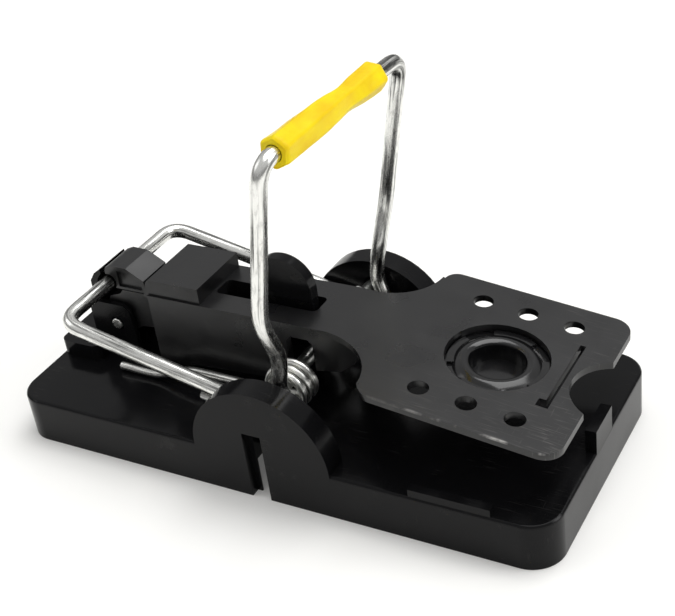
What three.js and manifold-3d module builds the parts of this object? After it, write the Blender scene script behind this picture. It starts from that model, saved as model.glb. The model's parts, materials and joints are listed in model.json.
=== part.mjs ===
// Snap mouse trap, shown set: a moulded base, a sprung wire strike bar and a treadle that holds it back.
// Millimetres, +Z up. +X points from the latch to the bait pan, and the part is mirrored about y = 0
// apart from the slight skew of the hand-bent bar. The origin is on the table, below the middle of the base.
import * as THREE from "three";
import { mergeVertices } from "three/addons/utils/BufferGeometryUtils.js";
import Module from "manifold-3d";

const wasm = await Module();
wasm.setup();

// Base moulding
const BASE_LENGTH = 96;
const BASE_WIDTH = 43.8;
const BASE_CORNER = 5.1;
const DECK_Z = 8;
const DECK_THICKNESS = 1.7;
const WALL = 1.8;
const TOP_ROUND = 0.6;

// Ears that carry the axle
const EAR_X = 1.1;
const EAR_Z = 7.9;
const EAR_RADIUS = 12.1;
const EAR_THICKNESS = 4.15;
const EAR_SKIN = 1.5;
const EAR_SLOT_WIDTH = 3.3;
const EAR_SLOT_TOP = 12.3;
const EAR_MOUTH_X = -1.5;

// Strike bar and its axle
const PIVOT_X = 1;
const PIVOT_Z = 15.3;
const AXLE_RADIUS = 1.2;
const WIRE_RADIUS = 1.25;
const ELBOW_RADIUS = 2.75;
const LEG_Y = 16.2;
const TOP_LEG_Y = 19.5;
const TOP_X = 9.1;
const TOP_Z = 57.5;
const TOP_SKEW_X = 0.7;
const TOP_SKEW_Z = 0.45;
const CROSSBAR_X = -38;
const CROSSBAR_Z = 21.4;
const CROSSBAR_BEND = 3.6;
const SLEEVE_NEAR_Y = -15.8;
const SLEEVE_FAR_Y = 11.8;
const SLEEVE_RADIUS = 2.5;
const SLEEVE_BORE = 1.45;

// Torsion springs
const SPRING_WIRE = 0.7;
const COIL_RADIUS = 3.35;
const COIL_SAG = 1.1;
const COIL_PITCH = 1.65;
const COIL_INNER_Y = 8.5;
const COIL_END_DEGREES = 900;
const SPRING_ARM_Y = 13.45;
const COIL_STEP_DEGREES = 25;

// Treadle: a level arm over the middle of the base, then a pan that slopes down to the front
const ARM_HALF = 6.5;
const ARM_TOP = 22.6;
const ARM_REAR = -27.5;
const PLATE = 1.9;
const SKIRT = 1.5;
const BEND_X = 6;
const PAN_SLOPE = -0.129;
const PAN_REAR = 17.2;
const PAN_FRONT = 47.2;
const PAN_HALF = 17.2;
const PAN_PLATE = 1.1;
const PAN_HOLE_RADIUS = 1.6;
const CUP_X = 31.6;
const CUP_HOLE = 7.95;
const SCALLOP_DEPTH = 4;
const SCALLOP_HALF = 6.5;

// Treadle pin and latch
const PIN_X = -37.4;
const PIN_Z = 13.7;
const PIN_RADIUS = 1;
const LATCH_HALF = 3.3;
const TONGUE_HALF = 3.1;
const CHEEK_INNER = 3.4;
const CHEEK_OUTER = 4.4;
const KEEPER_HALF = 3.6;
const PIN_HALF = 4.6;
const GAP = 0.3;

const plastic = { color: 0x17171a, roughness: 0.35, metalness: 0 };
const zinc = { color: 0xc6c8ca, roughness: 0.25, metalness: 1 };
const yellow = { color: 0xf2b705, roughness: 0.45, metalness: 0 };

// Turns a closed three.js geometry into a solid that can be cut and joined.
function solid(geometry) {
  const plain = geometry.index ? geometry.toNonIndexed() : geometry;
  plain.deleteAttribute("normal");
  plain.deleteAttribute("uv");
  const merged = mergeVertices(plain, 1e-4);
  const mesh = new wasm.Mesh({
    numProp: 3,
    vertProperties: new Float32Array(merged.attributes.position.array),
    triVerts: new Uint32Array(merged.index.array),
  });
  return new wasm.Manifold(mesh);
}

// Makes the named mesh of one node from a solid.
function node(name, body, look) {
  const { vertProperties, triVerts } = body.getMesh();
  const geometry = new THREE.BufferGeometry();
  geometry.setAttribute("position", new THREE.BufferAttribute(vertProperties, 3));
  geometry.setIndex(new THREE.BufferAttribute(triVerts, 1));
  geometry.computeVertexNormals();
  const mesh = new THREE.Mesh(geometry, new THREE.MeshStandardMaterial(look));
  mesh.name = name;
  return mesh;
}

function box(x0, x1, y0, y1, z0, z1) {
  const geometry = new THREE.BoxGeometry(x1 - x0, y1 - y0, z1 - z0);
  geometry.translate((x0 + x1) / 2, (y0 + y1) / 2, (z0 + z1) / 2);
  return solid(geometry);
}

function polygon(points) {
  return new THREE.Shape(points.map(([a, b]) => new THREE.Vector2(a, b)));
}

// Extrudes a plan shape (x, y) between two heights.
function upright(shape, z0, z1, curveSegments = 8) {
  const options = { depth: z1 - z0, bevelEnabled: false, curveSegments };
  return solid(new THREE.ExtrudeGeometry(shape, options).translate(0, 0, z0));
}

// Extrudes a side shape (x, z) between two values of y.
function across(shape, y0, y1, curveSegments = 12) {
  const options = { depth: y1 - y0, bevelEnabled: false, curveSegments };
  const geometry = new THREE.ExtrudeGeometry(shape, options).rotateX(Math.PI / 2);
  return solid(geometry.translate(0, y1, 0));
}

function disc(x, z, radius) {
  const shape = new THREE.Shape();
  shape.absarc(x, z, radius, 0, 2 * Math.PI, false);
  return shape;
}

// A cylinder along Y.
function rod(x, z, radius, y0, y1, segments = 24) {
  return across(disc(x, z, radius), y0, y1, segments);
}

function roundedRect(x0, x1, y0, y1, r) {
  const shape = new THREE.Shape();
  shape.absarc(x1 - r, y1 - r, r, 0, Math.PI / 2, false);
  shape.absarc(x0 + r, y1 - r, r, Math.PI / 2, Math.PI, false);
  shape.absarc(x0 + r, y0 + r, r, Math.PI, 1.5 * Math.PI, false);
  shape.absarc(x1 - r, y0 + r, r, 1.5 * Math.PI, 2 * Math.PI, false);
  return shape;
}

// A line through the points with each inner corner rounded off over the given distance.
function roundedPath(corners) {
  const path = new THREE.CurvePath();
  let start = corners[0].p;
  for (let i = 1; i < corners.length - 1; i += 1) {
    const { p, r } = corners[i];
    const before = corners[i - 1].p.clone().sub(p).setLength(r).add(p);
    const after = corners[i + 1].p.clone().sub(p).setLength(r).add(p);
    path.add(new THREE.LineCurve3(start, before));
    path.add(new THREE.QuadraticBezierCurve3(before, p, after));
    start = after;
  }
  path.add(new THREE.LineCurve3(start, corners.at(-1).p));
  return path;
}

function at(x, y, z, r = 0) {
  return { p: new THREE.Vector3(x, y, z), r };
}

function wire(path, radius, step, sides) {
  const section = disc(0, 0, radius);
  const steps = Math.round(path.getLength() / step);
  const options = { steps, extrudePath: path, curveSegments: sides, bevelEnabled: false };
  return solid(new THREE.ExtrudeGeometry(section, options));
}

// A point on a circle round the strike bar's axle, with the angle measured from +X towards +Z.
function roundAxle(radius, degrees) {
  const angle = THREE.MathUtils.degToRad(degrees);
  return [PIVOT_X + radius * Math.cos(angle), PIVOT_Z + radius * Math.sin(angle)];
}

// One end of the base's axle bearing: an ear, slotted from below so that the axle can be pushed up into it.
function ear(side) {
  const outer = side * BASE_WIDTH / 2;
  const inner = side * (BASE_WIDTH / 2 - EAR_THICKNESS);
  return rod(EAR_X, EAR_Z, EAR_RADIUS, Math.min(inner, outer), Math.max(inner, outer), 26)
    .intersect(box(-30, 30, -30, 30, DECK_Z - DECK_THICKNESS, 30));
}

function earSlot(side) {
  const face = side * (BASE_WIDTH / 2 + 1);
  const skin = side * (BASE_WIDTH / 2 - EAR_SKIN);
  const inside = side * (BASE_WIDTH / 2 - EAR_THICKNESS - 1);
  const half = EAR_SLOT_WIDTH / 2;
  const mouthEnd = EAR_MOUTH_X + EAR_SLOT_WIDTH;
  const mouth = box(EAR_MOUTH_X, mouthEnd, Math.min(face, skin), Math.max(face, skin), -1, EAR_SLOT_TOP);
  const y0 = Math.min(skin, inside);
  const y1 = Math.max(skin, inside);
  const seat = box(PIVOT_X - half, PIVOT_X + half, y0, y1, -1, PIVOT_Z);
  return mouth.add(seat).add(rod(PIVOT_X, PIVOT_Z, half, y0, y1, 16));
}

// The upright rib that comes up through the treadle's slot, notched for the axle.
function centreFin() {
  const shape = new THREE.Shape();
  shape.moveTo(-9.9, DECK_Z - 1);
  shape.lineTo(0.9, DECK_Z - 1);
  shape.absarc(-4.5, 25.1, 5.4, 0, Math.PI, false);
  shape.closePath();
  return across(shape, -1, 1).subtract(rod(PIVOT_X, PIVOT_Z, AXLE_RADIUS + GAP, -5, 5));
}

// The post behind the latch: two cheeks for the treadle pin, and a keeper behind the strike bar's crossbar.
function latchPost() {
  const cheek = polygon([
    [-42.6, DECK_Z - 1], [-33.6, DECK_Z - 1], [-34.2, 16.6], [-35.4, 17.6], [-41.6, 17.6],
  ]);
  const keeper = polygon([
    [-42.9, DECK_Z - 1], [-40.6, DECK_Z - 1], [-40.5, 20.8], [-40.1, 21.9], [-39.2, 23],
    [-39.3, 23.8], [-40.7, 22.8], [-41.8, 21.2], [-41.9, 17],
  ]);
  return across(cheek, -CHEEK_OUTER, -CHEEK_INNER)
    .add(across(cheek, CHEEK_INNER, CHEEK_OUTER))
    .add(across(keeper, -KEEPER_HALF, KEEPER_HALF))
    .add(box(-42.6, -40.6, -CHEEK_OUTER, CHEEK_OUTER, DECK_Z - 1, 17.4))
    .subtract(rod(PIN_X, PIN_Z, PIN_RADIUS + GAP, -10, 10));
}

function buildBase() {
  const x = BASE_LENGTH / 2;
  const y = BASE_WIDTH / 2;
  const inset = TOP_ROUND;
  const plan = roundedRect(-x + inset, x - inset, -y + inset, y - inset, BASE_CORNER - inset);
  const block = new THREE.ExtrudeGeometry(plan, {
    depth: DECK_Z - TOP_ROUND + 2, bevelThickness: TOP_ROUND, bevelSize: TOP_ROUND, bevelSegments: 3,
    curveSegments: 10,
  }).translate(0, 0, -2);
  const hollow = roundedRect(-x + WALL, x - WALL, -y + WALL, y - WALL, BASE_CORNER - WALL);
  let base = solid(block)
    .subtract(box(-x - 1, x + 1, -y - 1, y + 1, -5, 0))
    .subtract(upright(hollow, -1, DECK_Z - DECK_THICKNESS, 8));
  const rearPlinth = roundedRect(-x + 0.5, -39.5, -8.7, 8.7, 1.5);
  base = base.add(upright(rearPlinth, DECK_Z - 1, 11)).add(latchPost()).add(centreFin());
  base = base.add(box(x - WALL, x - 0.05, -3.4, 3.4, DECK_Z - 1, 11.8));
  for (const side of [-1, 1]) {
    base = base.add(ear(side)).subtract(earSlot(side));
    const outer = side * (y - 0.3);
    const inner = side * (y - 1.8);
    base = base.add(box(26, 38.8, Math.min(outer, inner), Math.max(outer, inner), DECK_Z - 1, 9.2));
  }
  return base;
}

// The strike bar is one closed wire loop, butted inside the sleeve: an upright bow, an elbow under the axle
// on each side, and a rear bow whose crossbar the latch holds down.
function buildStrikeBar() {
  const half = (side) => {
    const topX = TOP_X + side * TOP_SKEW_X;
    const topZ = TOP_Z - side * TOP_SKEW_Z;
    const rearAngle = -102;
    const points = [
      at(TOP_X + side * 0.01, side * 0.2, TOP_Z),
      at(topX, side * TOP_LEG_Y, topZ, 3.4),
      at(4.35 + side * 0.4, side * TOP_LEG_Y, 32, 3),
      at(3.95, side * LEG_Y, 23.4, 2.6),
      at(3, side * LEG_Y, 18.4, 1.2),
    ];
    for (const angle of [15, 0, -20, -40, -60, -80, rearAngle]) {
      const [px, pz] = roundAxle(ELBOW_RADIUS, angle);
      points.push(at(px, side * LEG_Y, pz, 0.4));
    }
    points.push(at(CROSSBAR_X, side * LEG_Y, CROSSBAR_Z, CROSSBAR_BEND));
    return points;
  };
  const near = half(-1);
  const far = half(1).reverse();
  return wire(roundedPath([...near, ...far]), WIRE_RADIUS, 1.5, 5);
}

function buildAxle() {
  const end = BASE_WIDTH / 2 - EAR_SKIN - 0.4;
  return rod(PIVOT_X, PIVOT_Z, AXLE_RADIUS, -end, end, 12);
}

// The sleeve's radius along its length: widest at a third, with a waist before the far end.
function sleeveRadius(t) {
  const widest = 0.3;
  const depth = t < widest ? 0.06 : 0.24;
  const dip = (1 - Math.cos((2 * Math.PI * (t - widest)) / 0.72)) / 2;
  return SLEEVE_RADIUS * (1 - 0.08 * t) * (1 - depth * dip);
}

// The sleeve is a six-sided grip with soft corners, on the bow's crossbar.
function buildSleeve() {
  const rings = 16;
  const sides = 24;
  const ring = (t, radius, ripple) => {
    const y = SLEEVE_NEAR_Y + t * (SLEEVE_FAR_Y - SLEEVE_NEAR_Y);
    const points = [];
    for (let i = 0; i < sides; i += 1) {
      const angle = (2 * Math.PI * i) / sides;
      const r = radius * (1 + ripple * Math.cos(6 * angle));
      points.push([r * Math.cos(angle), y, r * Math.sin(angle)]);
    }
    return points;
  };
  const loops = [];
  for (let k = 0; k <= rings; k += 1) {
    loops.push(ring(k / rings, sleeveRadius(k / rings), 0.06));
  }
  for (let k = rings; k >= 0; k -= 1) {
    loops.push(ring(k / rings, SLEEVE_BORE, 0));
  }
  const positions = loops.flat(2);
  const index = [];
  loops.forEach((_, k) => {
    const next = (k + 1) % loops.length;
    for (let i = 0; i < sides; i += 1) {
      const j = (i + 1) % sides;
      const [a, b, c, d] = [k * sides + i, k * sides + j, next * sides + j, next * sides + i];
      index.push(a, c, b, a, d, c);
    }
  });
  const geometry = new THREE.BufferGeometry();
  geometry.setAttribute("position", new THREE.Float32BufferAttribute(positions, 3));
  geometry.setIndex(index);
  geometry.rotateX(-Math.atan2(TOP_SKEW_Z, TOP_LEG_Y)).rotateZ(-Math.atan2(TOP_SKEW_X, TOP_LEG_Y));
  return solid(geometry.translate(TOP_X, 0, TOP_Z));
}

// A point on the spring's helix, which hangs on the axle. It starts at the bottom and climbs round the front
// as it moves outwards.
function onHelix(side, degrees) {
  const [x, z] = roundAxle(COIL_RADIUS, degrees - 90);
  return new THREE.Vector3(x, side * (COIL_INNER_Y + (COIL_PITCH * degrees) / 360), z - COIL_SAG);
}

// A torsion spring's coil round the axle, with the tail that bears on the deck.
function buildSpring(side) {
  const points = [
    [-34, 9.2, 8.9], [-26.6, 9.3, 8.9], [-22.4, 9.2, 10.3], [-18.6, 9.1, 11.1], [-12, 9, 11],
    [-5, 8.9, 10.8],
  ].map(([x, y, z]) => new THREE.Vector3(x, side * y, z));
  for (let degrees = 0; degrees <= COIL_END_DEGREES; degrees += COIL_STEP_DEGREES) {
    points.push(onHelix(side, degrees));
  }
  return wire(new THREE.CatmullRomCurve3(points, false, "centripetal"), SPRING_WIRE, 1.3, 4);
}

// The spring's other tail, which leaves below the axle and hooks under the bar's rear leg to push it up.
function buildSpringArm(side) {
  const points = [
    [1, SPRING_ARM_Y, PIVOT_Z - COIL_SAG - COIL_RADIUS], [-1.2, 14, 10.9], [-3.2, 14.6, 11.1],
    [-5, 15.3, 11.4], [-6.6, 15.9, 11.8], [-9.5, LEG_Y, 12.5], [-12, LEG_Y, 13.1],
  ].map(([x, y, z]) => new THREE.Vector3(x, side * y, z));
  return wire(new THREE.CatmullRomCurve3(points, false, "centripetal"), SPRING_WIRE, 1.2, 4);
}

// The pan's plan outline, from the neck round both rear corners to the scalloped front edge.
function panOutline() {
  const shape = new THREE.Shape();
  const fillet = 9.2;
  const front = 3.2;
  const radius = (SCALLOP_HALF ** 2 + SCALLOP_DEPTH ** 2) / (2 * SCALLOP_DEPTH);
  const centre = PAN_FRONT - SCALLOP_DEPTH + radius;
  const open = Math.asin(SCALLOP_HALF / radius);
  const neck = PAN_REAR - 1.2 - fillet;
  shape.moveTo(BEND_X - 0.5, -ARM_HALF);
  shape.lineTo(neck, -ARM_HALF);
  shape.absarc(neck, -ARM_HALF - fillet, fillet, Math.PI / 2, 0.05, true);
  shape.absarc(PAN_REAR + 1.4, -PAN_HALF + 2.2, 2.2, Math.PI, 1.5 * Math.PI, false);
  shape.absarc(PAN_FRONT - front, -PAN_HALF + front, front, 1.5 * Math.PI, 2 * Math.PI, false);
  shape.absarc(centre, 0, radius, Math.PI + open, Math.PI - open, true);
  shape.absarc(PAN_FRONT - front, PAN_HALF - front, front, 0, Math.PI / 2, false);
  shape.absarc(PAN_REAR + 1.4, PAN_HALF - 2.2, 2.2, Math.PI / 2, Math.PI, false);
  shape.absarc(neck, ARM_HALF + fillet, fillet, -0.05, -Math.PI / 2, true);
  shape.lineTo(BEND_X - 0.5, ARM_HALF);
  shape.closePath();
  return shape;
}

// Slopes a level solid down to the front from the bend line, keeping its plan.
function sloped(body) {
  return body.transform([1, 0, PAN_SLOPE, 0, 0, 1, 0, 0, 0, 0, 1, 0, 0, 0, -PAN_SLOPE * BEND_X, 1]);
}

function buildPan() {
  let pan = upright(panOutline(), ARM_TOP - PAN_PLATE, ARM_TOP, 14);
  const through = (shape) => upright(shape, ARM_TOP - 5, ARM_TOP + 5, 16);
  pan = pan.subtract(through(disc(CUP_X, 0, CUP_HOLE)));
  for (const x of [24.3, 31.75, 39.2]) {
    for (const y of [-12, 12]) {
      pan = pan.subtract(through(disc(x, y, PAN_HOLE_RADIUS)));
    }
  }
  const slit = box(41.55, 42.4, -6.4, 8.3, 10, 30);
  const slitEnd = box(40.5, 42.4, -7.8, -6.1, 10, 30);
  const aboveArm = box(0, BEND_X, -ARM_HALF - 1, ARM_HALF + 1, ARM_TOP, ARM_TOP + 1);
  return sloped(pan.subtract(slit).subtract(slitEnd)).subtract(aboveArm);
}

// The arm is a channel: a top plate with a long slot, and a skirt down each side that bridges over the axle.
function buildArm() {
  const plate = box(ARM_REAR, BEND_X, -ARM_HALF, ARM_HALF, ARM_TOP - PLATE - 0.3, ARM_TOP);
  const side = polygon([
    [ARM_REAR, 9.8], [-3.2, 11.3], [-1.4, 13], [-1.4, 19.4], [-0.6, 20.2], [2.6, 20.2], [3.4, 19.4],
    [3.4, 14.6], [8, 15.4], [10.5, 17.4], [12, 20], [12, 21.2], [BEND_X, ARM_TOP - 0.9],
    [ARM_REAR, ARM_TOP - 1],
  ]);
  const block = polygon([[-28.6, 22], [-17.3, 22], [-17.3, 25.4], [-27.1, 25.4], [-27.6, 24.9]]);
  const slot = roundedRect(-16.9, 2.1, -2.1, 2.1, 0.9);
  return plate
    .add(across(side, -ARM_HALF, -ARM_HALF + SKIRT))
    .add(across(side, ARM_HALF - SKIRT, ARM_HALF))
    .add(box(ARM_REAR, ARM_REAR + SKIRT, -ARM_HALF, ARM_HALF, 12, ARM_TOP - 1))
    .add(across(block, -6.1, 6.1))
    .subtract(upright(slot, 15, 30));
}

// The tongue runs back from the arm to the treadle pin, and dips under the crossbar.
function buildTongue() {
  const shape = polygon([
    [ARM_REAR + 0.5, 14], [ARM_REAR + 0.5, 23.4], [-29.6, 23.2], [-30.2, 22.4], [-30.2, 20.1],
    [-35.6, 20.1], [-36.4, 19.2],
    [-38.6, 18.4], [-39.9, 16.4], [-39.9, 12.6], [-38.8, 11.4], [-36, 11.4], [-33, 13.2],
  ]);
  return across(shape, -TONGUE_HALF, TONGUE_HALF).subtract(rod(PIN_X, PIN_Z, PIN_RADIUS + GAP, -10, 10));
}

function buildTreadle() {
  return buildPan().add(buildArm()).add(buildTongue());
}

// The latch reaches back over the crossbar, with a shallow panel sunk in each side.
function buildLatch() {
  const shape = polygon([
    [-30.5, 20.4], [-30.5, 22.8], [-33.8, 24.7], [-36.8, 24.8], [-38.2, 24.2], [-38.45, 23.5], [-38.4, 21],
    [-36.6, 20.4],
  ]);
  let latch = across(shape, -LATCH_HALF, LATCH_HALF)
    .subtract(rod(CROSSBAR_X, CROSSBAR_Z, WIRE_RADIUS + GAP, -10, 10, 20))
    .subtract(box(-45, CROSSBAR_X, -10, 10, 15, CROSSBAR_Z + WIRE_RADIUS + GAP))
    .subtract(box(CROSSBAR_X - 1, CROSSBAR_X + 1.2, -10, 10, 15, CROSSBAR_Z));
  const panel = polygon([[-31.1, 20.9], [-31.1, 22.4], [-33.7, 23.9], [-35.9, 23.9], [-35.9, 20.9]]);
  for (const side of [-1, 1]) {
    const face = side * LATCH_HALF;
    const floor = side * (LATCH_HALF - 0.5);
    latch = latch.subtract(across(panel, Math.min(face, floor), Math.max(face, floor)));
  }
  return latch;
}

// The bait cup snaps up into the pan: a flange under the plate, a rounded ring and four lobes round it.
function buildCup() {
  const top = ARM_TOP - 0.5;
  const under = ARM_TOP - PAN_PLATE - GAP;
  const profile = [
    [0, top - 3.9], [6.6, top - 3.9], [6.9, top - 3.6], [6.9, under - 0.9], [9, under - 0.9], [9, under],
    [6.9, under],
    [6.9, top - 0.85], [6.4, top - 0.5], [5.8, top - 0.12], [5.3, top], [4.8, top - 0.06], [4.4, top - 0.3],
    [4.15, top - 0.8], [4.05, top - 3.1], [0, top - 3.1],
  ].map(([r, z]) => new THREE.Vector2(r, z));
  let cup = solid(new THREE.LatheGeometry(profile, 40).rotateX(Math.PI / 2).translate(CUP_X, 0, 0));
  for (let quarter = 0; quarter < 4; quarter += 1) {
    const middle = (quarter * Math.PI) / 2;
    const half = THREE.MathUtils.degToRad(27);
    const lobe = new THREE.Shape();
    lobe.absarc(CUP_X, 0, 7.6, middle - half, middle + half, false);
    lobe.absarc(CUP_X, 0, 6.5, middle + half, middle - half, true);
    lobe.closePath();
    cup = cup.add(upright(lobe, under - 0.4, top - 0.45, 8));
  }
  return sloped(cup);
}

function buildPin() {
  return rod(PIN_X, PIN_Z, PIN_RADIUS, -PIN_HALF, PIN_HALF, 10);
}

const trap = new THREE.Group();
trap.name = "snap_mouse_trap";
trap.add(
  node("base", buildBase(), plastic),
  node("pivot_axle", buildAxle(), zinc),
  node("strike_bar", buildStrikeBar(), zinc),
  node("bar_sleeve", buildSleeve(), yellow),
  node("near_spring", buildSpring(-1), zinc),
  node("near_spring_arm", buildSpringArm(-1), zinc),
  node("far_spring", buildSpring(1), zinc),
  node("far_spring_arm", buildSpringArm(1), zinc),
  node("treadle", buildTreadle(), plastic),
  node("latch", buildLatch(), plastic),
  node("bait_cup", buildCup(), plastic),
  node("treadle_pin", buildPin(), zinc),
);

export default trap;
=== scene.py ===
"""Snap mouse trap, shown set, in metres.

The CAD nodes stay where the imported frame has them. The strike bar, the springs and the sleeve are replaced by
smooth pieces, whose outer sizes follow the frame and whose bends are set here.
"""
import json
import math

import bpy
from mathutils import Matrix, Vector


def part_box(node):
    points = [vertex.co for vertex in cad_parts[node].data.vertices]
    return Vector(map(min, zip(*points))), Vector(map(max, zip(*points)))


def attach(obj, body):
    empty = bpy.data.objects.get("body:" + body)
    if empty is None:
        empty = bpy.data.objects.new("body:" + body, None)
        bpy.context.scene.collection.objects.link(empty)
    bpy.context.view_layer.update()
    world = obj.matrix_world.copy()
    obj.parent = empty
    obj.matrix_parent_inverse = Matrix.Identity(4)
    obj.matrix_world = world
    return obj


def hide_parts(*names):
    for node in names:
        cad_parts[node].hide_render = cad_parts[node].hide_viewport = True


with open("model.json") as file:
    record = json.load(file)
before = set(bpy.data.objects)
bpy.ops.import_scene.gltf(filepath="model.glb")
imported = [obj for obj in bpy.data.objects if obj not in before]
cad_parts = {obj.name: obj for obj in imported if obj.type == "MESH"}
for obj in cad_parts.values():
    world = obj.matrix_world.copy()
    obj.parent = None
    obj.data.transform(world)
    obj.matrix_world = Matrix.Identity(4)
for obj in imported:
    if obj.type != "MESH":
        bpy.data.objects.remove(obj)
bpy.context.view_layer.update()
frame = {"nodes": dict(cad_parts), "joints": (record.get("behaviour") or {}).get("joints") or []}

MM = 0.001
PIVOT = Vector(next(j for j in frame["joints"] if j["name"] == "strike_swing")["pos_m"])

# Colours, linear RGBA
WHITE = (1, 1, 1, 1)
PAPER = (0.93, 0.925, 0.905, 1)
BLACK = (0.0045, 0.0045, 0.005, 1)
SCUFF = (0.14, 0.135, 0.125, 1)
# Painted highlight: a light band along the treadle's near top edge
EDGE_GLINT = (0.42, 0.41, 0.39, 1)
ZINC = (0.86, 0.86, 0.83, 1)
ZINC_DULL = (0.4, 0.41, 0.39, 1)
# Painted reflection: the dark streaks along the wires; also the colour of their dull patches of wear
ZINC_REFLECTION_AND_WEAR = (0.07, 0.072, 0.068, 1)
YELLOW = (0.94, 0.74, 0.008, 1)
YELLOW_DEEP = (0.78, 0.43, 0.004, 1)

# Softened edges of the CAD nodes
WELD_DISTANCE = 0.002 * MM
FLAT_ANGLE = math.radians(0.6)
BEVEL_ANGLE = math.radians(28)
BEVEL_SEGMENTS = 3
SHARP_ANGLE = math.radians(38)
BASE_EDGE = 0.22 * MM
TREADLE_EDGE = 0.2 * MM
SMALL_EDGE = 0.1 * MM
PIN_EDGE = 0.15 * MM

# Treadle's upper face: its height at x = 0, and how far it falls for each unit of x
PAN_TOP = 23.37 * MM
PAN_SLOPE = 0.129

# Strike bar. "Up" and "ahead" are distances from the pivot, and a bend starts that far from its corner.
WIRE_RADIUS = 1.25 * MM
WIRE_STEP = 0.45 * MM
WIRE_SIDES = 28
LEG_Y = 16.2 * MM
TOP_AHEAD = 8.1 * MM
TOP_SKEW_X = 0.7 * MM
TOP_SKEW_Z = 0.45 * MM
TOP_BEND = 3.6 * MM
KINK_AHEAD = 3.35 * MM
KINK_SKEW_X = 0.4 * MM
KINK_UP = 16.7 * MM
KINK_BEND = 3 * MM
ANKLE_AHEAD = 2.95 * MM
ANKLE_UP = 8.5 * MM
ANKLE_BEND = 2.2 * MM
FOOT_AHEAD = 2 * MM
FOOT_UP = 3.1 * MM
FOOT_BEND = 1.2 * MM
ELBOW_RADIUS = 2.75 * MM
ELBOW_ANGLES = (15, 0, -20, -40, -60, -80, -102)
ELBOW_BEND = 0.4 * MM
CROSSBAR_UP = 6.1 * MM
REAR_BEND = 3.7 * MM

# Torsion springs. TAIL runs from its free end to the coil, and ARM from the coil to its free end under the
# bar's rear leg. Both are (x, distance from the middle plane, z) in mm.
SPRING_WIRE = 0.7 * MM
SPRING_STEP = 0.3 * MM
SPRING_SIDES = 16
COIL_RADIUS = 3.35 * MM
COIL_PITCH = 1.65 * MM
COIL_INNER_Y = 8.5 * MM
COIL_SAG = 1.1 * MM
COIL_END_DEGREES = 900
COIL_STEP_DEGREES = 15
TAIL = ((-34, 9.2, 8.9), (-26.6, 9.3, 8.9), (-22.4, 9.2, 10.3), (-18.6, 9.1, 11.1),
        (-12, 9, 11), (-5, 8.9, 10.8))
ARM = ((1, 13.45, 10.85), (-1.2, 14, 10.9), (-3.2, 14.6, 11.1), (-5, 15.3, 11.4), (-6.6, 15.9, 11.8),
       (-9.5, 16.2, 12.5), (-12, 16.2, 13.1))

# Sleeve: radius and rounding in mm, turn and twist in degrees, rim and gap in metres
SLEEVE_RADIUS = 2.16
SLEEVE_TURN_START = 26
SLEEVE_TWIST = 30
SLEEVE_RIM = 0.7 * MM
SLEEVE_ROUNDING = 0.35
SLEEVE_GAP = 0.09 * MM
SLEEVE_SIDES = 96
SLEEVE_RINGS = 140

# Studio: each light is (name, azimuth, elevation, size in metres, watts)
FLOOR_HALF = 3.0
FLOOR_DROP = 0.05 * MM
FLOOR_GLOW = 0.1
LIGHT_DISTANCE = 1.6
LIGHTS = (
    ("overhead", 150, 70, 1.2, 15),
    ("left_window", -70, 40, 0.8, 2.4),
    ("right_window", 110, 30, 0.6, 6),
)
HORIZON_HEIGHT, BRIGHT_HEIGHT = 0.1, 0.5
HORIZON_STRENGTH, BRIGHT_STRENGTH = 0.16, 0.54

# Camera, at the photograph's viewing angle
CAMERA_AZIMUTH = 32.86
CAMERA_ELEVATION = 32.45
CAMERA_ROLL = math.radians(-8.28)
CAMERA_PLACE = Vector((0.10054, -0.14819, 0.13474))
CAMERA_LENS = 71.23
SENSOR_WIDTH = 36
CLIP_START = 0.01


# ---------------------------------------------------------------- node helpers

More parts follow.
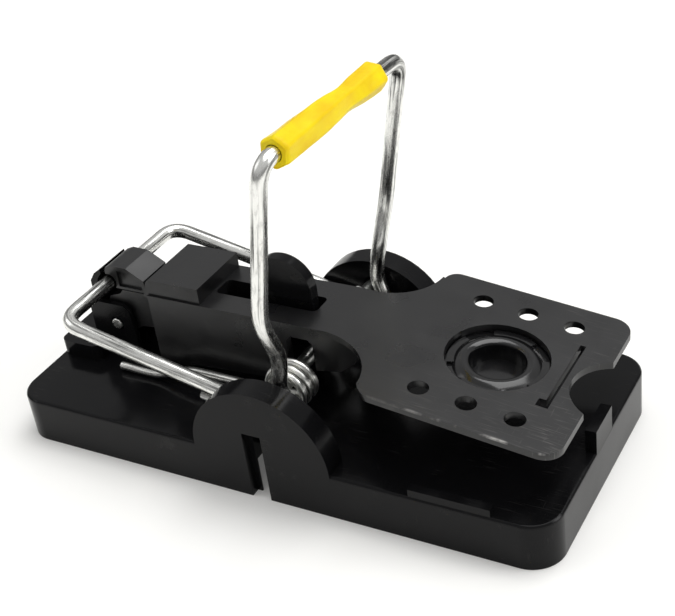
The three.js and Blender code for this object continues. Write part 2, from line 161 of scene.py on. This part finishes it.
class Nodes:
    """Builds one material's node tree."""

    def __init__(self, name):
        self.material = bpy.data.materials.new(name)
        self.material.use_nodes = True
        self.tree = self.material.node_tree
        self.tree.nodes.clear()
        self.shader = self.add("ShaderNodeBsdfPrincipled")
        output = self.add("ShaderNodeOutputMaterial")
        self.link(self.shader.outputs[0], output.inputs[0])
        self.position = self.add("ShaderNodeTexCoord").outputs["Object"]

    def add(self, kind):
        return self.tree.nodes.new(kind)

    def link(self, source, target):
        self.tree.links.new(source, target)

    def scaled(self, scale, rotation=(0, 0, 0)):
        mapping = self.add("ShaderNodeMapping")
        self.link(self.position, mapping.inputs["Vector"])
        mapping.inputs["Scale"].default_value = scale
        mapping.inputs["Rotation"].default_value = rotation
        return mapping.outputs[0]

    def noise(self, scale, detail=4, rotation=(0, 0, 0)):
        """Noise with scale features per unit of length along each axis."""
        noise = self.add("ShaderNodeTexNoise")
        self.link(self.scaled(scale, rotation), noise.inputs["Vector"])
        noise.inputs["Scale"].default_value = 1
        noise.inputs["Detail"].default_value = detail
        return noise.outputs["Fac"]

    def remap(self, value, low, high, to_low, to_high):
        node = self.add("ShaderNodeMapRange")
        self.link(value, node.inputs["Value"])
        for key, number in (("From Min", low), ("From Max", high), ("To Min", to_low), ("To Max", to_high)):
            node.inputs[key].default_value = number
        return node.outputs[0]

    def maths(self, operation, first, second):
        node = self.add("ShaderNodeMath")
        node.operation = operation
        self.link(first, node.inputs[0])
        if isinstance(second, (int, float)):
            node.inputs[1].default_value = second
        else:
            self.link(second, node.inputs[1])
        return node.outputs[0]

    def mix(self, factor, first, second):
        node = self.add("ShaderNodeMix")
        node.data_type = "RGBA"
        self.link(factor, node.inputs["Factor"])
        for socket, colour in ((6, first), (7, second)):
            if hasattr(colour, "is_linked"):
                self.link(colour, node.inputs[socket])
            else:
                node.inputs[socket].default_value = colour
        return node.outputs[2]

    def set(self, key, value):
        if hasattr(value, "is_linked"):
            self.link(value, self.shader.inputs[key])
        else:
            self.shader.inputs[key].default_value = value

    def bump(self, height, distance, strength):
        node = self.add("ShaderNodeBump")
        node.inputs["Distance"].default_value = distance
        node.inputs["Strength"].default_value = strength
        self.link(height, node.inputs["Height"])
        self.link(node.outputs[0], self.shader.inputs["Normal"])


def moulded_plastic(name, roughness, scuffs, specular, scuffed_glint_corner=None):
    """Black moulded plastic: soft sheen, faint flow marks, fine grain, and short scuffs that come in patches.

    The last argument gives the x and y of the treadle's corner where the scuffs are denser and a highlight is
    painted along the top edge.
    """
    n = Nodes(name)
    flow = n.noise((60, 90, 60), 3)
    cloud = n.noise((220, 160, 220), 5)
    grain = n.noise((3200, 3200, 3200), 2)
    patch = n.remap(n.noise((140, 140, 140), 3), 0.48, 0.66, 0, 1)
    painted_glint = None
    if scuffed_glint_corner is not None:
        axes = n.add("ShaderNodeSeparateXYZ")
        n.link(n.position, axes.inputs[0])
        corner_x, corner_y = scuffed_glint_corner
        ahead = n.remap(axes.outputs["X"], corner_x - 26 * MM, corner_x - 4 * MM, 0.12, 1)
        beside = n.remap(axes.outputs["Y"], corner_y + 20 * MM, corner_y + 5 * MM, 0.25, 1)
        worn = n.maths("MULTIPLY", ahead, beside)
        patch = n.maths("MULTIPLY", n.maths("ADD", patch, 0.4), worn)
        # Painted highlight along the pan's near top edge, broken into patches and stronger towards the front
        # corner
        level = n.maths("ADD", axes.outputs["Z"], n.maths("MULTIPLY", axes.outputs["X"], PAN_SLOPE))
        upper = n.remap(level, PAN_TOP - 0.34 * MM, PAN_TOP - 0.16 * MM, 0, 1)
        edge = n.remap(axes.outputs["Y"], corner_y + 0.42 * MM, corner_y + 0.16 * MM, 0, 1)
        glint_patches = n.remap(n.noise((330, 300, 300), 5), 0.46, 0.6, 0, 1)
        painted_glint = n.maths("MULTIPLY", n.maths("MULTIPLY", edge, glint_patches), n.maths("MULTIPLY", ahead, upper))
    strokes = n.noise((240, 5200, 420), 4, (0, 0, 1.25))
    crossed = n.noise((3900, 420, 420), 4, (0, 0, 0.8))
    stroke = n.maths("MAXIMUM", n.remap(strokes, 0.57, 0.72, 0, 1), n.remap(crossed, 0.64, 0.76, 0, 0.7))
    scratch = n.maths("MULTIPLY", n.maths("MULTIPLY", stroke, patch), scuffs)
    colour = n.mix(scratch, BLACK, SCUFF)
    # The painted edge highlight goes over the scuffs
    if painted_glint is not None:
        colour = n.mix(painted_glint, colour, EDGE_GLINT)
    n.set("Base Color", colour)
    sheen = n.maths("ADD", n.remap(flow, 0.35, 0.65, -0.04, 0.04), n.remap(cloud, 0.3, 0.7, -0.04, 0.05))
    rough = n.maths("ADD", sheen, roughness)
    n.set("Roughness", n.maths("ADD", rough, n.maths("MULTIPLY", scratch, 0.12)))
    n.set("IOR", 1.5)
    n.set("Specular IOR Level", specular)
    height = n.maths("ADD", n.maths("MULTIPLY", grain, 0.12), flow)
    n.bump(n.maths("SUBTRACT", height, n.maths("MULTIPLY", scratch, 0.3)), 0.04 * MM, 0.3)
    return n.material


def plated_metal(name, roughness):
    """Bright zinc plating with small dull patches and pits."""
    n = Nodes(name)
    patches = n.noise((420, 420, 420), 5)
    pits = n.noise((2600, 2600, 2600), 2)
    n.set("Base Color", n.mix(n.remap(patches, 0.42, 0.66, 0, 1), ZINC, ZINC_DULL))
    n.set("Metallic", 1)
    n.set("Roughness", n.remap(patches, 0.3, 0.7, roughness - 0.05, roughness + 0.14))
    n.bump(n.maths("ADD", patches, n.maths("MULTIPLY", pits, 0.5)), 0.04 * MM, 0.3)
    return n.material


def drawn_wire(name, roughness, streaks):
    """Zinc-plated drawn wire: long dark and bright streaks along it, which are painted reflections of the
    surroundings, and small dull patches of wear.

    Its noise is laid out round and along the wire, by the attribute that mark_length writes.
    """
    n = Nodes(name)
    along = n.add("ShaderNodeAttribute")
    along.attribute_name = "along_wire"
    n.position = along.outputs["Vector"]
    broad = n.noise((1.5, 1.5, 55), 2)
    fine = n.noise((6, 6, 160), 4)
    streak = n.maths("ADD", n.maths("MULTIPLY", broad, 0.62), n.maths("MULTIPLY", fine, 0.38))
    patches = n.noise((2.2, 2.2, 620), 5)
    # Painted reflection: dark streaks along the wire stand in for the dark surroundings it reflects
    dark = n.remap(streak, 0.49, 0.6, 0, streaks)
    # The dull patches of wear are added to the painted reflection streaks
    worn = n.maths("ADD", dark, n.remap(patches, 0.5, 0.75, 0, 0.3))
    n.set("Base Color", n.mix(worn, ZINC, ZINC_REFLECTION_AND_WEAR))
    n.set("Metallic", 1)
    n.set("Roughness", n.remap(patches, 0.3, 0.7, roughness - 0.04, roughness + 0.12))
    n.bump(n.maths("ADD", fine, n.maths("MULTIPLY", patches, 0.5)), 0.05 * MM, 0.4)
    return n.material


def sleeve_plastic():
    """Yellow moulded sleeve: slightly translucent, mottled, with a soft uneven surface."""
    n = Nodes("sleeve_yellow")
    mottle = n.noise((260, 180, 260), 4)
    fine = n.noise((1800, 1800, 1800), 3)
    n.set("Base Color", n.mix(n.remap(mottle, 0.35, 0.72, 0, 0.6), YELLOW, YELLOW_DEEP))
    n.set("Roughness", n.remap(mottle, 0.3, 0.7, 0.3, 0.46))
    n.set("Specular IOR Level", 0.15)
    n.set("Subsurface Weight", 0.08)
    n.set("Subsurface Radius", (1.2 * MM, 0.6 * MM, 0.2 * MM))
    n.bump(n.maths("ADD", mottle, n.maths("MULTIPLY", fine, 0.2)), 0.25 * MM, 0.4)
    return n.material


def paper(name, colour, glow):
    """Plain paper with a faint glow of its own, so that the floor stays pale."""
    n = Nodes(name)
    n.set("Base Color", colour)
    n.set("Emission Color", colour)
    n.set("Emission Strength", glow)
    n.set("Roughness", 0.9)
    n.set("Specular IOR Level", 0.15)
    return n.material


# ---------------------------------------------------------------- CAD nodes: soft edges and materials

def smooth_by_angle():
    """A modifier tree that shades faces smooth and keeps edges over SHARP_ANGLE sharp."""
    tree = bpy.data.node_groups.new("smooth_by_angle", "GeometryNodeTree")
    tree.interface.new_socket("Geometry", in_out="INPUT", socket_type="NodeSocketGeometry")
    tree.interface.new_socket("Geometry", in_out="OUTPUT", socket_type="NodeSocketGeometry")
    source = tree.nodes.new("NodeGroupInput")
    sink = tree.nodes.new("NodeGroupOutput")
    faces = tree.nodes.new("GeometryNodeSetShadeSmooth")
    edges = tree.nodes.new("GeometryNodeSetShadeSmooth")
    edges.domain = "EDGE"
    angle = tree.nodes.new("GeometryNodeInputMeshEdgeAngle")
    less = tree.nodes.new("FunctionNodeCompare")
    less.operation = "LESS_THAN"
    less.inputs["B"].default_value = SHARP_ANGLE
    tree.links.new(source.outputs[0], faces.inputs["Geometry"])
    tree.links.new(faces.outputs[0], edges.inputs["Geometry"])
    tree.links.new(angle.outputs["Unsigned Angle"], less.inputs["A"])
    tree.links.new(less.outputs[0], edges.inputs["Shade Smooth"])
    tree.links.new(edges.outputs[0], sink.inputs[0])
    return tree


SMOOTH = smooth_by_angle()


def soften(obj, width):
    """Joins split faces, rounds the sharp edges and shades the rest smooth, all by modifiers."""
    weld = obj.modifiers.new("weld", "WELD")
    weld.merge_threshold = WELD_DISTANCE
    planar = obj.modifiers.new("planar", "DECIMATE")
    planar.decimate_type = "DISSOLVE"
    planar.angle_limit = FLAT_ANGLE
    bevel = obj.modifiers.new("bevel", "BEVEL")
    bevel.width = width
    bevel.segments = BEVEL_SEGMENTS
    bevel.limit_method = "ANGLE"
    bevel.angle_limit = BEVEL_ANGLE
    shade = obj.modifiers.new("shade", "NODES")
    shade.node_group = SMOOTH
    weighted = obj.modifiers.new("weighted", "WEIGHTED_NORMAL")
    weighted.keep_sharp = True


def dress(name, material, edge):
    """Gives a CAD node its material and softened edges."""
    obj = frame["nodes"][name]
    obj.data.materials.clear()
    obj.data.materials.append(material)
    soften(obj, edge)


# ---------------------------------------------------------------- wires

def rounded_route(corners, steps=10):
    """A closed route through the corners, each (point, reach) rounded off over its reach."""
    route = []
    count = len(corners)
    for i, (point, reach) in enumerate(corners):
        before = corners[i - 1][0]
        after = corners[(i + 1) % count][0]
        start = point + (before - point).normalized() * reach
        end = point + (after - point).normalized() * reach
        for k in range(steps + 1):
            t = k / steps
            route.append(start * (1 - t) ** 2 + point * (2 * t * (1 - t)) + end * t ** 2)
    return route


def resample(route, step, closed):
    """Points evenly spaced along the route, and its last point if it is open."""
    points = list(route) + ([route[0]] if closed else [])
    out = []
    carried = 0.0
    for a, b in zip(points, points[1:]):
        length = (b - a).length
        while carried <= length and length > 0:
            out.append(a.lerp(b, carried / length))
            carried += step
        carried -= length
    if not closed:
        out.append(points[-1])
    return out


def catmull(points, steps=8):
    """A smooth open curve through the points."""
    ends = [points[0] * 2 - points[1], *points, points[-1] * 2 - points[-2]]
    out = []
    for p0, p1, p2, p3 in zip(ends, ends[1:], ends[2:], ends[3:]):
        for k in range(steps):
            t = k / steps
            out.append(0.5 * (2 * p1 + (p2 - p0) * t + (2 * p0 - 5 * p1 + 4 * p2 - p3) * t * t
                              + (3 * p1 - p0 - 3 * p2 + p3) * t ** 3))
    out.append(points[-1])
    return out


def tube(name, route, radius, sides, closed):
    """A round wire along the route, with a frame carried along it, and domed ends if it is open."""
    count = len(route)
    tangents = []
    for i in range(count):
        a = route[i - 1] if (closed or i > 0) else route[0]
        b = route[(i + 1) % count] if (closed or i < count - 1) else route[-1]
        tangents.append((b - a).normalized())
    normal = tangents[0].orthogonal().normalized()
    rings = []
    for tangent in tangents:
        normal = (normal - tangent * normal.dot(tangent)).normalized()
        rings.append((normal.copy(), tangent.cross(normal)))
    twist = 0.0
    if closed:
        last_n, _ = rings[-1]
        carried = (last_n - tangents[0] * last_n.dot(tangents[0])).normalized()
        first_n, first_b = rings[0]
        twist = math.atan2(carried.dot(first_b), carried.dot(first_n))
    verts = []

    def ring(centre, pair, size, turn):
        n, b = pair
        for k in range(sides):
            angle = 2 * math.pi * k / sides - turn
            verts.append(centre + (n * math.cos(angle) + b * math.sin(angle)) * size)

    sections = [(route[i], rings[i], radius, twist * i / count) for i in range(count)]
    if not closed:
        dome = [(0.94, 0.25), (0.72, 0.6)]
        for size, out in dome:
            sections.insert(0, (route[0] - tangents[0] * radius * out * 0.6, rings[0], radius * size, 0))
            sections.append((route[-1] + tangents[-1] * radius * out * 0.6, rings[-1], radius * size, 0))
    for section in sections:
        ring(*section)
    total = len(sections)
    faces = []
    for i in range(total if closed else total - 1):
        j = (i + 1) % total
        for k in range(sides):
            m = (k + 1) % sides
            faces.append((i * sides + k, i * sides + m, j * sides + m, j * sides + k))
    if not closed:
        faces.append(tuple(reversed(range(sides))))
        faces.append(tuple((total - 1) * sides + k for k in range(sides)))
    wire = new_mesh(name, verts, faces)
    mark_length(wire, [section[0] for section in sections], sides)
    return wire


def mark_length(wire, centres, sides):
    """Stores each vertex's place round the wire and along it, for the painted reflection streaks that run
    lengthwise.
    """
    attribute = wire.data.attributes.new("along_wire", "FLOAT_VECTOR", "POINT")
    length = 0.0
    for i, centre in enumerate(centres):
        if i:
            length += (centre - centres[i - 1]).length
        for k in range(sides):
            angle = 2 * math.pi * k / sides
            attribute.data[i * sides + k].vector = (math.cos(angle), math.sin(angle), length)


def new_mesh(name, verts, faces):
    """A smooth-shaded mesh object in the scene."""
    mesh = bpy.data.meshes.new(name)
    mesh.from_pydata([tuple(v) for v in verts], [], faces)
    mesh.validate()
    mesh.polygons.foreach_set("use_smooth", [True] * len(mesh.polygons))
    obj = bpy.data.objects.new(name, mesh)
    bpy.context.scene.collection.objects.link(obj)
    return obj


def place(obj, material, body, slot, *replaced):
    """Dresses a piece, rides it on its body and hides the CAD nodes it stands for."""
    obj.data.materials.append(material)
    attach(obj, body)
    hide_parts(*replaced)


def round_pivot(radius, degrees, y):
    """The point at a radius and an angle round the pivot, 0 degrees being ahead of it and 90 above."""
    angle = math.radians(degrees)
    return Vector((PIVOT.x + radius * math.cos(angle), y, PIVOT.z + radius * math.sin(angle)))


def bar_corners():
    """The corners of the closed strike bar, near side first, then the far side in reverse."""
    low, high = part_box("strike_bar")
    crossbar_x = low.x + WIRE_RADIUS
    crossbar_z = PIVOT.z + CROSSBAR_UP
    top_y = high.y - WIRE_RADIUS
    top_x = PIVOT.x + TOP_AHEAD
    top_z = high.z - WIRE_RADIUS - TOP_SKEW_Z
    sides = []
    for side in (-1, 1):
        corners = [
            (Vector((top_x + side * TOP_SKEW_X, side * top_y, top_z - side * TOP_SKEW_Z)), TOP_BEND),
            (Vector((PIVOT.x + KINK_AHEAD + side * KINK_SKEW_X, side * top_y, PIVOT.z + KINK_UP)), KINK_BEND),
            (Vector((PIVOT.x + ANKLE_AHEAD, side * LEG_Y, PIVOT.z + ANKLE_UP)), ANKLE_BEND),
            (Vector((PIVOT.x + FOOT_AHEAD, side * LEG_Y, PIVOT.z + FOOT_UP)), FOOT_BEND),
        ]
        for angle in ELBOW_ANGLES:
            corners.append((round_pivot(ELBOW_RADIUS, angle, side * LEG_Y), ELBOW_BEND))
        corners.append((Vector((crossbar_x, side * LEG_Y, crossbar_z)), REAR_BEND))
        sides.append(corners)
    return sides[0] + list(reversed(sides[1]))


def make_strike_bar(material):
    route = resample(rounded_route(bar_corners()), WIRE_STEP, True)
    wire = tube("strike_wire", route, WIRE_RADIUS, WIRE_SIDES, True)
    place(wire, material, "strike", "zinc_wire", "strike_bar")


def on_helix(side, degrees):
    """A point on the coil, which starts below the axle and runs outwards from COIL_INNER_Y."""
    point = round_pivot(COIL_RADIUS, degrees - 90, 0)
    point.y = side * (COIL_INNER_Y + COIL_PITCH * degrees / 360)
    point.z -= COIL_SAG
    return point


def mirrored(points, side):
    """The points in metres, on the near side (-1) or the far side (1)."""
    return [Vector((x * MM, side * y * MM, z * MM)) for x, y, z in points]


def spring_wire(name, points):
    route = resample(catmull(points), SPRING_STEP, False)
    return tube(name, route, SPRING_WIRE, SPRING_SIDES, False)


def make_springs(material):
    """Each spring is a coil with a tail on the deck, and a hook that swings with the bar."""
    for label, side in (("near", -1), ("far", 1)):
        turns = [on_helix(side, degrees) for degrees in range(0, COIL_END_DEGREES + 1, COIL_STEP_DEGREES)]
        coil = spring_wire(label + "_coil", mirrored(TAIL, side) + turns)
        place(coil, material, "base", "spring_wire", label + "_spring")
        hook = spring_wire(label + "_hook", mirrored(ARM, side))
        place(hook, material, "strike", "spring_wire", label + "_spring_arm")


# ---------------------------------------------------------------- sleeve

def bell(value, centre, width):
    """1 at the centre, falling off smoothly on both sides."""
    return math.exp(-((value - centre) / width) ** 2)


def sleeve_radius(t):
    """The radius in mm at t, 0 at the near end and 1 at the far end: thick at a third, then a waist."""
    thick = 0.17 * bell(t, 0.3, 0.15)
    waist = 0.3 * bell(t, 0.66, 0.1)
    near_end = 0.22 * bell(t, 0, 0.16)
    far_end = 0.128 * bell(t, 1, 0.2)
    return SLEEVE_RADIUS + thick + far_end + near_end - waist


def round_angles():
    return [2 * math.pi * i / SLEEVE_SIDES for i in range(SLEEVE_SIDES)]


def sleeve_loop(t, length):
    """The outline at t: six facets, a slight wobble, a small dent near the top, and the ends rounded off."""
    turn = math.radians(SLEEVE_TURN_START + SLEEVE_TWIST * t)
    from_end = min(t, 1 - t) * length
    rounding = SLEEVE_ROUNDING * (1 - from_end / SLEEVE_RIM) ** 2 if from_end < SLEEVE_RIM else 0
    loop = []
    for angle in round_angles():
        facet = 0.05 * math.cos(6 * (angle - turn)) + 0.013 * math.cos(12 * (angle - turn))
        wobble = 0.018 * math.sin(2 * angle + 9 * t) + 0.01 * math.sin(3 * angle - 23 * t)
        dent = 0.03 * bell(t, 0.42, 0.02) * bell(angle, 1.0, 0.22)
        radius = (sleeve_radius(t) * (1 + facet + wobble - dent) - rounding) * MM
        loop.append(Vector((radius * math.cos(angle), (t - 0.5) * length, radius * math.sin(angle))))
    return loop


def make_sleeve(material):
    """A twisted six-sided grip on the bar's upper crossbar, tilted as the crossbar is."""
    low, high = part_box("bar_sleeve")
    length = high.y - low.y
    middle_y = (low.y + high.y) / 2
    bar_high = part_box("strike_bar")[1]
    top_y = bar_high.y - WIRE_RADIUS
    bore = WIRE_RADIUS + SLEEVE_GAP
    loops = [sleeve_loop(k / SLEEVE_RINGS, length) for k in range(SLEEVE_RINGS + 1)]
    for y in (length / 2, -length / 2):
        loops.append([Vector((bore * math.cos(a), y, bore * math.sin(a))) for a in round_angles()])
    verts = [vert for loop in loops for vert in loop]
    faces = []
    for k in range(len(loops)):
        this, after = k * SLEEVE_SIDES, (k + 1) % len(loops) * SLEEVE_SIDES
        for i in range(SLEEVE_SIDES):
            m = (i + 1) % SLEEVE_SIDES
            faces.append((this + i, after + i, after + m, this + m))
    sleeve = new_mesh("yellow_sleeve", verts, faces)
    tilt = Matrix.Rotation(-math.atan2(TOP_SKEW_X, top_y), 4, "Z")
    tilt = tilt @ Matrix.Rotation(-math.atan2(TOP_SKEW_Z, top_y), 4, "X")
    centre = Vector((PIVOT.x + TOP_AHEAD, 0, bar_high.z - WIRE_RADIUS - TOP_SKEW_Z))
    sleeve.data.transform(Matrix.Translation(centre) @ tilt @ Matrix.Translation((0, middle_y, 0)))
    shade = sleeve.modifiers.new("shade", "NODES")
    shade.node_group = SMOOTH
    place(sleeve, material, "strike", "yellow_sleeve", "bar_sleeve")


# ---------------------------------------------------------------- stage

def make_floor():
    half = FLOOR_HALF
    mesh = bpy.data.meshes.new("floor")
    corners = [(-half, -half, 0), (half, -half, 0), (half, half, 0), (-half, half, 0)]
    mesh.from_pydata(corners, [], [(0, 1, 2, 3)])
    floor = bpy.data.objects.new("floor", mesh)
    floor.location.z = -FLOOR_DROP
    mesh.materials.append(paper("paper_white", PAPER, FLOOR_GLOW))
    bpy.context.scene.collection.objects.link(floor)


def outward(azimuth, elevation):
    """The direction from the object at these degrees. Azimuth 0 is on the -Y side, 90 on +X."""
    a, e = math.radians(azimuth), math.radians(elevation)
    return Vector((math.sin(a) * math.cos(e), -math.cos(a) * math.cos(e), math.sin(e)))


def soft_light(name, azimuth, elevation, size, power):
    """A square soft light, aimed at the middle of the object."""
    data = bpy.data.lights.new(name, "AREA")
    data.shape = "SQUARE"
    data.size = size
    data.energy = power
    light = bpy.data.objects.new(name, data)
    back = outward(azimuth, elevation)
    light.location = back * LIGHT_DISTANCE
    light.rotation_mode = "QUATERNION"
    light.rotation_quaternion = (-back).to_track_quat("-Z", "Y")
    bpy.context.scene.collection.objects.link(light)


def make_light():
    """A white studio: bright above, dimmer towards the horizon, with large soft lights."""
    world = bpy.data.worlds.new("studio")
    world.use_nodes = True
    tree = world.node_tree
    background = tree.nodes["Background"]
    direction = tree.nodes.new("ShaderNodeTexCoord").outputs["Generated"]
    axes = tree.nodes.new("ShaderNodeSeparateXYZ")
    tree.links.new(direction, axes.inputs[0])
    height = tree.nodes.new("ShaderNodeMapRange")
    height.inputs["From Min"].default_value = HORIZON_HEIGHT
    height.inputs["From Max"].default_value = BRIGHT_HEIGHT
    height.inputs["To Min"].default_value = HORIZON_STRENGTH
    height.inputs["To Max"].default_value = BRIGHT_STRENGTH
    tree.links.new(axes.outputs["Z"], height.inputs["Value"])
    tree.links.new(height.outputs[0], background.inputs["Strength"])
    background.inputs["Color"].default_value = WHITE
    bpy.context.scene.world = world
    bpy.context.scene.view_settings.view_transform = "Standard"
    for light in LIGHTS:
        soft_light(*light)


def make_camera():
    """The camera, turned to its azimuth and elevation and then rolled."""
    data = bpy.data.cameras.new("camera")
    data.lens = CAMERA_LENS
    data.sensor_width = SENSOR_WIDTH
    data.clip_start = CLIP_START
    camera = bpy.data.objects.new("camera", data)
    back = outward(CAMERA_AZIMUTH, CAMERA_ELEVATION)
    level = Vector((0, 0, 1)).cross(back).normalized()
    upward = back.cross(level)
    right = level * math.cos(CAMERA_ROLL) + upward * math.sin(CAMERA_ROLL)
    up = upward * math.cos(CAMERA_ROLL) - level * math.sin(CAMERA_ROLL)
    rotation = Matrix((right, up, back)).transposed().to_4x4()
    camera.matrix_world = Matrix.Translation(CAMERA_PLACE) @ rotation
    bpy.context.scene.collection.objects.link(camera)
    bpy.context.scene.camera = camera


make_camera()
make_floor()
make_light()
zinc = plated_metal("zinc_pin", 0.24)
treadle_low, treadle_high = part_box("treadle")
# The corner where the scuffs gather and the edge highlight is painted
treadle_plastic = moulded_plastic("plastic_treadle", 0.32, 0.9, 0.58, (treadle_high.x, treadle_low.y))
dress("base", moulded_plastic("plastic_base", 0.16, 0.1, 0.14), BASE_EDGE)
dress("treadle", treadle_plastic, TREADLE_EDGE)
dress("latch", treadle_plastic, SMALL_EDGE)
dress("bait_cup", moulded_plastic("plastic_cup", 0.15, 0.1, 0.6), SMALL_EDGE)
dress("pivot_axle", zinc, PIN_EDGE)
dress("treadle_pin", zinc, PIN_EDGE)
# The last number sets how strong the painted reflection streaks are
make_strike_bar(drawn_wire("zinc_bar", 0.2, 0.85))
make_springs(drawn_wire("zinc_spring", 0.26, 0.7))
make_sleeve(sleeve_plastic())
